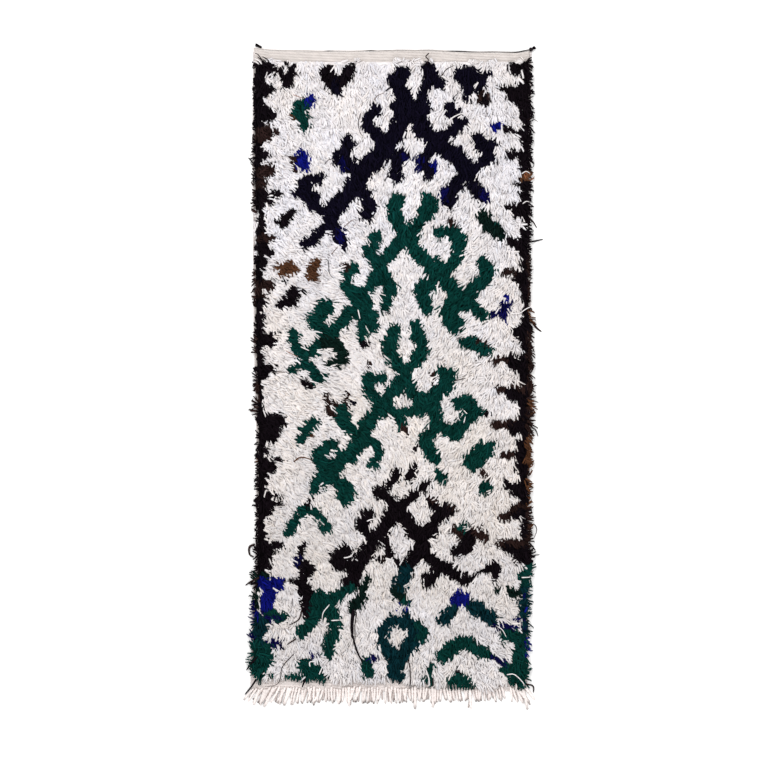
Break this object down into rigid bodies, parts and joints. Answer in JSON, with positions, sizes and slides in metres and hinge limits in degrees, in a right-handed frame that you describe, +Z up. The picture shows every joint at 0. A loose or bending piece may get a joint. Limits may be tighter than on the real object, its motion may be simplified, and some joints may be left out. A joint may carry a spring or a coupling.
{
  "type": "berber rug",
  "caption": "Long hand-knotted shag runner with a flat-woven heading, ragged pile, dark border, hooked diamond pattern and a short warp fringe at one end.",
  "frame": {"origin": "on the floor at the middle of the ground weave's underside", "axes": "+Y along the rug towards the flat-woven heading, -Y towards the fringe; +Z up through the pile; +X across the rug"},
  "size_m": [1.0049, 2.2781, 0.0293],
  "materials": {
    "ground_wool": "matt flat weave of cream hand-spun wool",
    "pile_wool": "long soft shag of ivory wool with dark navy, green, black, blue and brown motifs",
    "fringe_wool": "matt twisted warp ends of undyed wool",
    "dark_yarn": "matt twined brown-black wool"
  },
  "bodies": {
    "root": {"ground_weave": "ground_wool", "pile_shag": "pile_wool", "fringe_bottom": "fringe_wool", "edge_cord_top": "dark_yarn", "corner_knot_left": "dark_yarn", "corner_knot_right": "dark_yarn"}
  },
  "joints": []
}
